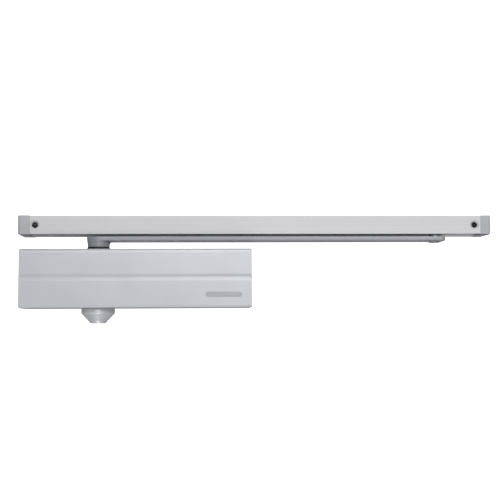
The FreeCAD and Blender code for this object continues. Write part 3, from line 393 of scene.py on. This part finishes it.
def insetPath(path, by, closed=True):
    # every point moves to the left of the path's direction by the same distance
    if closed:
        ahead, behind = np.roll(path, -1, 0) - path, path - np.roll(path, 1, 0)
    else:
        steps = np.diff(path, axis=0)
        ahead, behind = np.vstack([steps, steps[-1:]]), np.vstack([steps[:1], steps])
    ahead = ahead / np.linalg.norm(ahead, axis=1, keepdims=True)
    behind = behind / np.linalg.norm(behind, axis=1, keepdims=True)
    left = np.stack([-(ahead + behind)[:, 1], (ahead + behind)[:, 0]], 1)
    left = left / np.linalg.norm(left, axis=1, keepdims=True)
    lean = np.sum(left * np.stack([-ahead[:, 1], ahead[:, 0]], 1), axis=1, keepdims=True)
    return path + left * by / np.maximum(lean, 0.5)


def circle(x, y, radius, steps=64, start=0.0, end=2 * math.pi):
    # a full turn leaves out its last point, which is its first
    whole = abs(end - start) > 2 * math.pi - 0.01
    t = np.linspace(start, end, steps, endpoint=not whole)
    return np.stack([x + radius * np.cos(t), y + radius * np.sin(t)], 1)


def quads(rows, columns, wrap):
    i, j = np.meshgrid(np.arange(rows - 1), np.arange(columns if wrap else columns - 1), indexing="ij")
    j2 = (j + 1) % columns
    near, far = i * columns, (i + 1) * columns
    return np.stack([near + j, far + j, far + j2, near + j2], -1).reshape(-1, 4)


def turnedSheet(profile, centre, steps=96):
    # radius and height of the profile, carried round the vertical line through centre
    angles = np.linspace(0, 2 * math.pi, steps, endpoint=False)
    radius, height = profile[:, 0][:, None], profile[:, 1][:, None]
    x, y = centre[0] + radius * np.cos(angles), centre[1] + radius * np.sin(angles)
    return np.stack([x, y, height + 0 * x], -1), True


def slabSheets(outline, low, high, edge, lay, steps=5):
    # a plate: its outline drawn in by the edge's arc near both faces; lay puts (u, v, w) on the axes
    t = np.linspace(0, math.pi / 2, steps + 1)
    flat, inward, upward = [edge + 0.15], edge * (1 - np.sin(t)), edge * (1 - np.cos(t))
    inset = np.concatenate([flat, inward, inward[::-1], flat])
    level = np.concatenate([[low], low + upward, high - upward[::-1], [high]])
    rings = np.stack([np.column_stack([insetPath(outline, by), np.full(len(outline), at)])
                      for by, at in zip(inset, level)])
    rings = rings[..., lay]
    return [(rings, True)], [rings[0], rings[-1]]


weldGap = 0.0001  # mm


def meshOf(name, sheets, faces=()):
    # sheets of quads and flat faces, welded where they meet, all facing outwards; mm to metres
    points, polygons, start = [], [], 0
    for grid, wrap in sheets:
        points.append(grid.reshape(-1, 3))
        polygons += (quads(grid.shape[0], grid.shape[1], wrap) + start).tolist()
        start += grid.shape[0] * grid.shape[1]
    for loop in faces:
        points.append(loop)
        polygons.append(list(range(start, start + len(loop))))
        start += len(loop)
    mesh = bpy.data.meshes.new(name)
    mesh.from_pydata((np.vstack(points) * mm).tolist(), [], polygons)
    shape = bmesh.new()
    shape.from_mesh(mesh)
    bmesh.ops.remove_doubles(shape, verts=shape.verts, dist=weldGap * mm)
    bmesh.ops.dissolve_degenerate(shape, edges=shape.edges, dist=weldGap * mm)
    bmesh.ops.recalc_face_normals(shape, faces=shape.faces)
    shape.to_mesh(mesh)
    shape.free()
    return mesh


def objectOf(name, mesh):
    piece = bpy.data.objects.new(name, mesh)
    bpy.context.collection.objects.link(piece)
    return piece


def prism(rings, name="tool"):
    # a closed solid between the first and the last ring
    return objectOf(name, meshOf(name, [(rings, True)], [rings[0], rings[-1]]))


def combine(piece, tool, operation):
    # the piece cut by, or joined with, a tool, which is then thrown away
    step = piece.modifiers.new("combine", "BOOLEAN")
    step.operation, step.object, step.solver = operation, tool, "EXACT"
    bpy.context.view_layer.update()
    made = bpy.data.meshes.new_from_object(piece.evaluated_get(bpy.context.evaluated_depsgraph_get()))
    piece.modifiers.clear()
    piece.data = made
    bpy.data.objects.remove(tool)


def paint(piece, smooth):
    # smooth faces, with the corners sharper than the angle kept
    mesh = piece.data
    mesh.materials.clear()
    mesh.polygons.foreach_set("use_smooth", np.ones(len(mesh.polygons), bool))
    mesh.set_sharp_from_angle(angle=math.radians(smooth))


def dress(piece, replaced, smooth=32.0, bevel=0.0):
    # rides where the replaced part did and takes its finish
    paint(piece, smooth)
    if bevel:
        edge = piece.modifiers.new("edge", "BEVEL")
        edge.width, edge.segments, edge.limit_method = bevel * mm, 3, "ANGLE"
        edge.angle_limit, edge.harden_normals = math.radians(smooth), True
    piece.data.materials.append(materials[slotOf[replaced]])
    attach(piece, bodyOf[replaced])
    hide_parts(replaced)
    return piece


def addLoose(piece, body, slotName):
    # a piece with no CAD part of its own
    paint(piece, 30)
    piece.data.materials.append(materials[slotName])
    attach(piece, body)


def boxOf(node):
    low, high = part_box(node)
    return np.array(low) / mm, np.array(high) / mm


coverSet = {
    "wall": 2.0, "topRound": 3.0, "bottomRound": 2.0, "endRound": 0.6,
    "grooveTop": 3.6, "grooveFloorTop": 1.3, "grooveFloorLow": 0.0, "grooveLow": -2.3, "grooveDepth": 0.8,
    "slotRadius": 14.7,
}


def makeCover():
    # a drawn section with rounded ends, an inner skin, and slots for the spindle cut through both walls
    low, high = boxOf("cover")
    s, front, end, top = coverSet, low[1], high[0], high[2]
    floor = front + s["grooveDepth"]
    corners = [(0, -top), (front, -top), (front, s["grooveLow"]), (floor, s["grooveFloorLow"]),
               (floor, s["grooveFloorTop"]), (front, s["grooveTop"]), (front, top), (0, top)]
    outline = roundedPath(corners, [0, s["bottomRound"], 0.5, 0.4, 0.3, 0.25, s["topRound"], 0], 8)
    t = np.linspace(0, math.pi / 2, 7)
    inset = np.concatenate([s["endRound"] * (1 - np.sin(t)), [0, 0], s["endRound"] * (1 - np.sin(t[::-1]))])
    x = np.concatenate([-end + s["endRound"] * (1 - np.cos(t)), [-end + s["endRound"] + 0.3],
                        [end - s["endRound"] - 0.3], end - s["endRound"] * (1 - np.cos(t[::-1]))])
    skin = np.stack([np.column_stack([np.full(len(outline), at), insetPath(outline, -by, False)])
                     for at, by in zip(x, inset)])
    skin[:, (0, -1), 1] = 0.0
    wall = s["wall"]
    face = front + wall
    inner = roundedPath([(0, wall - top), (face, wall - top), (face, top - wall), (0, top - wall)],
                        [0, 1.0, 1.0, 0], 4)
    core = np.stack([np.column_stack([np.full(len(inner), at), inner]) for at in (-end + wall, end - wall)])
    rim = np.vstack([skin[:, 0], skin[::-1, -1]])
    hole = np.vstack([core[:, 0], core[::-1, -1]])
    loops = [[Vector(point) for point in loop] for loop in (rim, hole)]
    every = np.vstack([rim, hole])
    faces = [skin[0], skin[-1], core[0], core[-1]]
    faces += [every[list(triangle)] for triangle in tessellate_polygon(loops)]
    cover = objectOf("cover_shell", meshOf("cover_shell", [(skin, False), (core, False)], faces))
    middle, radius = (boxOf("spindle_cap")[0] + boxOf("spindle_cap")[1]) / 2, s["slotRadius"]
    bend = circle(middle[0], middle[1], radius, 49, math.pi, 2 * math.pi)
    past = 5  # mm that the cutter passes the walls
    slot = np.vstack([[(middle[0] - radius, past)], bend, [(middle[0] + radius, past)]])
    rings = np.stack([np.column_stack([slot, np.full(len(slot), z)]) for z in (-top - past, top + past)])
    combine(cover, prism(rings), "DIFFERENCE")
    dress(cover, "cover", 25)


badgeSet = {"edge": 0.3, "sunk": 0.1}


def makeBadge():
    # a raised pill: its outline, two straights and two half circles, with a domed edge
    low, high = boxOf("cover_badge")
    half = (high[2] - low[2]) / 2
    middle = (high[2] + low[2]) / 2
    outline = np.vstack([circle(high[0] - half, middle, half, 33, -math.pi / 2, math.pi / 2),
                         circle(low[0] + half, middle, half, 33, math.pi / 2, 3 * math.pi / 2)])
    sheets, faces = slabSheets(outline, low[1], high[1] + badgeSet["sunk"], badgeSet["edge"], [0, 2, 1])
    dress(objectOf("badge_plate", meshOf("badge_plate", sheets, faces)), "cover_badge", 25)


capSet = {"straight": 4.6, "cone": 7.2, "tipRadius": 8.55, "wall": 1.5, "rimRound": 1.2, "tipRound": 1.6,
          "tipDraw": 1.4, "collarOuter": 14.2, "collarInner": 12.7, "seat": -27.45}


def makeSpindleCap():
    # a turned cup: straight rim, cone and flat tip outside, a thin wall and a gripping collar inside
    low, high = boxOf("spindle_cap")
    s, centre = capSet, (low + high) / 2
    radius, shoulder = (high[0] - low[0]) / 2, -boxOf("cover")[1][2] - 0.1
    rim = shoulder + 0.1 - s["straight"]
    cone = rim - s["cone"]
    corners = [(s["collarInner"], high[2]), (s["collarOuter"], high[2]), (s["collarOuter"], shoulder),
               (radius, shoulder), (radius, rim), (s["tipRadius"], cone),
               (s["tipRadius"] - s["tipDraw"], low[2]), (0, low[2]), (0, low[2] + s["wall"]),
               (s["tipRadius"] - s["wall"], low[2] + s["wall"] + 0.5),
               (radius - s["wall"], rim), (radius - s["wall"], s["seat"]), (s["collarInner"], s["seat"])]
    radii = [0.2, 0.2, 0.1, 0.5, s["rimRound"], 0.8, s["tipRound"], 0, 0, 0.5, 0.5, 0.2, 0]
    profile = roundedPath(corners, radii, 5, 0.1)
    grid, wrap = turnedSheet(np.vstack([profile, profile[:1]]), centre, 128)
    dress(objectOf("lower_cap", meshOf("lower_cap", [(grid, wrap)])), "spindle_cap", 30)


armSet = {
    "thick": 3.8, "edge": 0.6, "endCorner": 4.5, "endTrim": 1.1,
    "hubLow": 9.7, "hubHigh": 11.0, "foot": 1.0, "footDraw": 0.55, "hubRound": 0.5,
    "blend": 3.0, "blendFrom": 0.62, "blendFade": 0.3,  # where round the hub the sweep starts, as a cosine
    "recess": 6.2, "recessDepth": 2.8, "screwHole": 3.2,
    "pinHole": 4.04, "socket": 5.07, "socketDepth": 5.4,
    # the ring sizes are for a black ring that paints the shade under the hub's foot
    "shadeRing": 10.4, "shadeRingInner": 8.1, "shadeRingLow": 0.4, "shadeRingGrip": 1.1, "shadeRingBulge": 0.4,
}


def makeArm():
    # a plate, round at the hub and square with round corners at the pin, joined to a tapered hub
    # whose side sweeps out under the plate with a hollow arc
    low, high = boxOf("arm")
    s = armSet
    middle = (low[1] + high[1]) / 2
    hubX, pinX = low[0] + s["hubHigh"], (boxOf("slide_pin")[0][0] + boxOf("slide_pin")[1][0]) / 2
    width, corner = high[0] - pinX, s["endCorner"]
    end = high[0] - s["endTrim"] - corner
    under = high[2] - s["thick"]
    outline = np.vstack([circle(end, middle - width + corner, corner, 17, -math.pi / 2, 0),
                         circle(end, middle + width - corner, corner, 17, 0, math.pi / 2),
                         circle(hubX, middle, width, 49, math.pi / 2, 3 * math.pi / 2)])
    sheets, faces = slabSheets(outline, under, high[2], s["edge"], [0, 1, 2])
    arm = objectOf("arm_bar", meshOf("arm_bar", sheets, faces))
    taper = (s["hubHigh"] - s["hubLow"]) / (high[2] - low[2])
    rounding = s["hubRound"] * (1 - np.sin(np.linspace(0.2, math.pi / 2, 5)))
    heights = np.concatenate([[low[2], low[2]], low[2] + np.linspace(0.15, s["foot"], 6),
                              np.linspace(low[2] + 1.5, under - s["blend"], 4),
                              under - s["blend"] * (1 - np.linspace(0.1, 1, 12)),
                              [under + 0.5, high[2] - s["hubRound"]], high[2] - rounding, [high[2]]])
    radius = s["hubLow"] + taper * (heights - low[2])
    radius -= s["footDraw"] * np.clip(1 - (heights - low[2]) / s["foot"], 0, 1) ** 2
    lip = np.clip((heights - high[2] + s["hubRound"]) / s["hubRound"], 0, 1)
    radius -= s["hubRound"] * (1 - np.sqrt(1 - lip ** 2))
    radius[0] = 0
    radius[-1] = 0
    angles = np.linspace(-math.pi, math.pi, 128, endpoint=False)
    rise = np.clip((heights - under + s["blend"]) / s["blend"], 0, 1)
    sweep = s["blend"] * (1 - np.sqrt(np.clip(1 - rise ** 2, 0, 1))) * (heights < under + 0.01)
    side = np.clip((np.cos(angles) - s["blendFrom"]) / s["blendFade"], 0, 1)
    side = side * side * (3 - 2 * side)
    reach = radius[:, None] + sweep[:, None] * side
    x, y = hubX + reach * np.cos(angles), middle + reach * np.sin(angles)
    grid = np.stack([x, y, heights[:, None] + 0 * reach], -1)
    combine(arm, objectOf("tool", meshOf("tool", [(grid, True)])), "UNION")
    floor = high[2] - s["recessDepth"]
    holes = ((hubX, s["recess"], floor, high[2] + 2), (hubX, s["screwHole"], low[2] + 1, high[2]),
             (pinX, s["pinHole"], under - 2, high[2] + 2))
    for x, radius, bottom, top in holes:
        profile = np.array([(0, bottom), (radius, bottom), (radius, top), (0, top)])
        tool = turnedSheet(profile, (x, middle), 64)
        combine(arm, objectOf("tool", meshOf("tool", [tool])), "DIFFERENCE")
    turn = circle(0, 0, s["socket"] * math.sqrt(2), 4, math.pi / 4, math.pi / 4 + 2 * math.pi)
    rings = np.stack([np.column_stack([turn + (hubX, middle), np.full(4, z)])
                      for z in (low[2] - 2, low[2] + s["socketDepth"])])
    combine(arm, prism(rings), "DIFFERENCE")
    dress(arm, "arm", 28)
    # the black ring at the hub's foot paints the shade between the hub and the cover
    makeShadeRing((hubX, middle), boxOf("upper_bearing_nut")[1][2] + s["shadeRingLow"], low[2])


def makeShadeRing(centre, low, foot):
    # a soft black ring on the spindle, its bulging outer lip gripping the hub's foot: painted shade, a dark
    # ring put where shade falls between the hub and the cover
    outer, inner, grip = armSet["shadeRing"], armSet["shadeRingInner"], armSet["hubLow"] + 0.1
    high = foot + armSet["shadeRingGrip"]
    t = np.linspace(-math.pi / 2, math.pi / 2, 9)
    side, seat = (low + high) / 2 + (high - low) / 2 * np.sin(t), foot - 0.05
    bulge = np.column_stack([outer - armSet["shadeRingBulge"] * (1 - np.cos(t)), side])
    profile = np.vstack([[(inner, low)], bulge, [(grip, high), (grip, seat), (inner, seat), (inner, low)]])
    ring = objectOf("dust_ring", meshOf("dust_ring", [turnedSheet(profile, centre)]))
    addLoose(ring, "arm", "seal_rubber")


railSet = {
    "wall": 2.0, "round": 0.45, "slotHalf": 4.5, "channelHalf": 7.5,
    "hole": 2.75, "sink": 4.3, "sinkDepth": 1.5, "holeInset": 15.5,
}


def makeRail():
    # a drawn section, slotted below, with a closed chamber behind; countersunk holes near its ends
    low, high = boxOf("rail_channel")
    s, wall, front = railSet, railSet["wall"], low[1]
    middle = front + wall + s["channelHalf"]
    floor, roof = low[2] + wall, high[2] - wall
    outer = roundedPath([(front, low[2]), (middle - s["slotHalf"], low[2]), (middle - s["slotHalf"], floor),
                         (front + wall, floor), (front + wall, roof), (middle + s["channelHalf"], roof),
                         (middle + s["channelHalf"], floor), (middle + s["slotHalf"], floor),
                         (middle + s["slotHalf"], low[2]), (0, low[2]), (0, high[2]), (front, high[2])],
                        [s["round"], 0.4, 0.4, 0.3, 0.3, 0.3, 0.3, 0.4, 0.4, 0.4, 0.4, s["round"]], 5)
    back = middle + s["channelHalf"] + wall
    chamber = roundedPath([(back, floor), (-wall, floor), (-wall, roof), (back, roof)], [0.5] * 4, 4)
    stations = (low[0], low[0] + 0.2, high[0] - 0.2, high[0])
    grids = [np.stack([np.column_stack([np.full(len(ring), x), ring]) for x in stations])
             for ring in (outer, chamber)]
    every = np.vstack([outer, chamber])
    fill = tessellate_polygon([[Vector((y, z, 0)) for y, z in ring] for ring in (outer, chamber)])
    faces = [np.column_stack([np.full(3, x), every[list(triangle)]])
             for x in (low[0], high[0]) for triangle in fill]
    rail = objectOf("rail_profile", meshOf("rail_profile", [(grid, True) for grid in grids], faces))
    left, right = boxOf("left_end_cap")[0][0], boxOf("right_end_cap")[1][0]
    height = (low[2] + high[2]) / 2
    above, through = 2, -60
    sink = roundedPath([(0, above), (s["sink"], above), (s["sink"], 0), (s["hole"], -s["sinkDepth"]),
                        (s["hole"], through), (0, through)], [0, 0, 0.2, 0.2, 0, 0], 3)
    for x in (left + s["holeInset"], right - s["holeInset"]):
        grid, wrap = turnedSheet(sink, (0, 0), 64)
        # the turned tool laid along Y
        grid = np.stack([x + grid[..., 0], front - grid[..., 2], height + grid[..., 1]], -1)
        combine(rail, objectOf("tool", meshOf("tool", [(grid, wrap)])), "DIFFERENCE")
    dress(rail, "rail_channel", 28)


endCapSet = {
    "corner": 3.0, "under": 1.6, "upper": 0.8, "edge": 0.35,
    "lip": 1.5, "lipDrop": 0.6, "lipBack": 0.8, "lipDeep": 9.0, "lipReach": {"left": 0.8, "right": 5.2},
    "skirt": {"left": 1.3, "right": 0.0},
}


def makeEndCap(side):
    # a block whose outer upright edge and lower corner are round, with a black lip under the rail that
    # paints the shade falling there
    name, node = side + "_rail_cap", side + "_end_cap"
    low, high = boxOf(node)
    s = endCapSet
    rail = boxOf("rail_channel")
    outward = 1 if side == "right" else -1
    face = (rail[1][0] if side == "right" else rail[0][0]) - outward * s["skirt"][side]
    end = high[0] if side == "right" else low[0]
    plan = roundedPath([(face, low[1]), (end, low[1]), (end, high[1]), (face, high[1])][::outward],
                       [0.3, s["corner"], 0.6, 0.3][::outward], 10)
    rings = np.stack([np.column_stack([plan, np.full(len(plan), z)]) for z in (low[2] - 3, high[2] + 3)])
    cap = prism(rings, name)
    inner = face - outward
    front = roundedPath([(inner, low[2]), (end, low[2]), (end, high[2]), (inner, high[2])],
                        [0, s["under"], s["upper"], 0], 8)
    rings = np.stack([np.column_stack([front[:, 0], np.full(len(front), y), front[:, 1]])
                      for y in (low[1] - 3, high[1] + 3)])
    combine(cap, prism(rings), "INTERSECT")
    dress(cap, node, 28, s["edge"])
    # the lip under the rail's end is made black to paint the shade that falls under the rail
    a, b = sorted((face - outward * s["lipReach"][side], end - outward * s["lip"]))
    front, back = low[1] + s["lipBack"], low[1] + s["lipDeep"]
    outline = roundedPath([(a, front), (b, front), (b, back), (a, back)], [0.8] * 4, 5)
    sheets, faces = slabSheets(outline, rail[0][2] - s["lipDrop"], rail[0][2] - 0.02, 0.12, [0, 1, 2], 3)
    lip = objectOf(side + "_rail_lip", meshOf(side + "_rail_lip", sheets, faces))
    addLoose(lip, bodyOf[node], "block_plastic")


softSet = {"weld": 0.0005, "flatWithin": 0.4, "smooth": 30}  # mm, degrees, degrees


def softened(node, name, edge):
    # a welded copy of a part, its flats made whole, with its sharp edges rounded off
    source = frame["nodes"][node].data
    points = np.zeros(len(source.vertices) * 3, np.float32)
    source.vertices.foreach_get("co", points)
    mesh = bpy.data.meshes.new(name)
    mesh.from_pydata(points.reshape(-1, 3).tolist(), [], [list(face.vertices) for face in source.polygons])
    shape = bmesh.new()
    shape.from_mesh(mesh)
    bmesh.ops.remove_doubles(shape, verts=shape.verts, dist=softSet["weld"] * mm)
    bmesh.ops.dissolve_degenerate(shape, edges=shape.edges, dist=softSet["weld"] * mm)
    flat = math.radians(softSet["flatWithin"])
    bmesh.ops.dissolve_limit(shape, angle_limit=flat, verts=shape.verts, edges=shape.edges)
    bmesh.ops.recalc_face_normals(shape, faces=shape.faces)
    shape.to_mesh(mesh)
    shape.free()
    dress(objectOf(name, mesh), node, softSet["smooth"], edge)


makeCover()
makeBadge()
makeSpindleCap()
print("cover made")
makeArm()
print("arm made")
makeRail()
for side in ("left", "right"):
    makeEndCap(side)
print("rail made")
softNodes = {
    # edge width, mm
    "housing": 0.5, "upper_bearing_nut": 0.25, "lower_bearing_nut": 0.25, "arm_screw": 0.15,
    "slide_block": 0.3, "left_end_plug": 0.3, "right_end_plug": 0.3,
}
for node, edge in softNodes.items():
    softened(node, node + "_soft", edge)
for node, part in frame["nodes"].items():
    if not part.hide_render:
        part.data.materials.clear()
        part.data.materials.append(materials[slotOf[node]])
print("inner parts dressed")

studioSet = {
    "floorLevel": -0.7, "domeRadius": 9.0, "domeGlow": 1.02, "floorGlow": 0.95,
    "skyTop": 0.2, "skySide": 0.34, "skyLow": 0.3,
}


def glowing(name, tint, glow):
    maker = Maker(name)
    cloud = maker.range(maker.noise(400), 0.3, 0.7)
    maker.feed(Base_Color=maker.mix(cloud, shade(tint, 0.985), tint), Roughness=0.9)
    maker.shader.inputs["Emission Color"].default_value = tint
    maker.shader.inputs["Emission Strength"].default_value = glow
    return maker.material


def makeStage():
    # a flat round floor, and a plain dome far behind everything
    s, steps = studioSet, 96
    angles = np.linspace(0, 2 * math.pi, steps, endpoint=False)
    radius = np.array([0.001, 1.5, 4.0, s["domeRadius"]])[:, None] / mm
    level = s["floorLevel"] / mm + 0 * radius * angles
    floor = np.stack([radius * np.cos(angles), radius * np.sin(angles), level], -1)
    floor = objectOf("floor", meshOf("floor", [(floor, True)]))
    floor.data.materials.append(glowing("floor_pale", (0.86, 0.86, 0.865, 1), s["floorGlow"]))
    tilt = np.linspace(-0.9, math.pi / 2, 33)[:, None]
    reach = s["domeRadius"] / mm
    dome = np.stack([reach * np.cos(tilt) * np.cos(angles), reach * np.cos(tilt) * np.sin(angles),
                     reach * np.sin(tilt) + 0 * angles], -1)
    dome = objectOf("backdrop", meshOf("backdrop", [(dome, True)]))
    dome.data.materials.append(glowing("backdrop_pale", (1, 1, 1, 1), s["domeGlow"]))
    for stage in (floor, dome):
        stage.visible_diffuse = stage.visible_glossy = stage.visible_shadow = False


def makeWorld():
    # grey by height: from below, past a level band at the horizon, to overhead
    maker = Maker("studio", True)
    bpy.context.scene.world = maker.material
    coords = maker.add("TexCoord", (), (), 0)
    height = maker.add("SeparateXYZ", (), {0: coords}, 2)
    levels = ((0.0, "skyLow"), (0.42, "skySide"), (0.6, "skySide"), (1.0, "skyTop"))
    greys = [(at, studioSet[key]) for at, key in levels]
    stops = [(at, (grey, grey, grey * 1.01, 1)) for at, grey in greys]
    maker.feed(Color=maker.add("ValToRGB", {"stops": stops}, {0: maker.range(height, -1, 1)}))


lights = {
    # azimuth, elevation, distance m, size m, watts
    "key": (7, 24, 3.0, 1.6, 50),
    "fill": (-5, -60, 2.8, 1.6, 22),
    "top": (10, 75, 2.2, 1.0, 5),
    "back": (200, 30, 2.2, 1.4, 34),
}


def makeLights():
    centre = (Vector(cadBox[0]) + Vector(cadBox[1])) / 2
    for name, (azimuth, elevation, distance, size, power) in lights.items():
        data = bpy.data.lights.new(name, "AREA")
        data.shape, data.size, data.energy = "DISK", size, power
        light = bpy.data.objects.new(name, data)
        back = directionFrom(azimuth, elevation)
        turn = back.to_track_quat("Z", "Y").to_matrix().to_4x4()
        light.matrix_world = Matrix.Translation(centre + back * distance) @ turn
        bpy.context.collection.objects.link(light)


makeStage()
makeWorld()
makeLights()
bpy.context.scene.view_settings.view_transform = "Standard"
print("studio made")
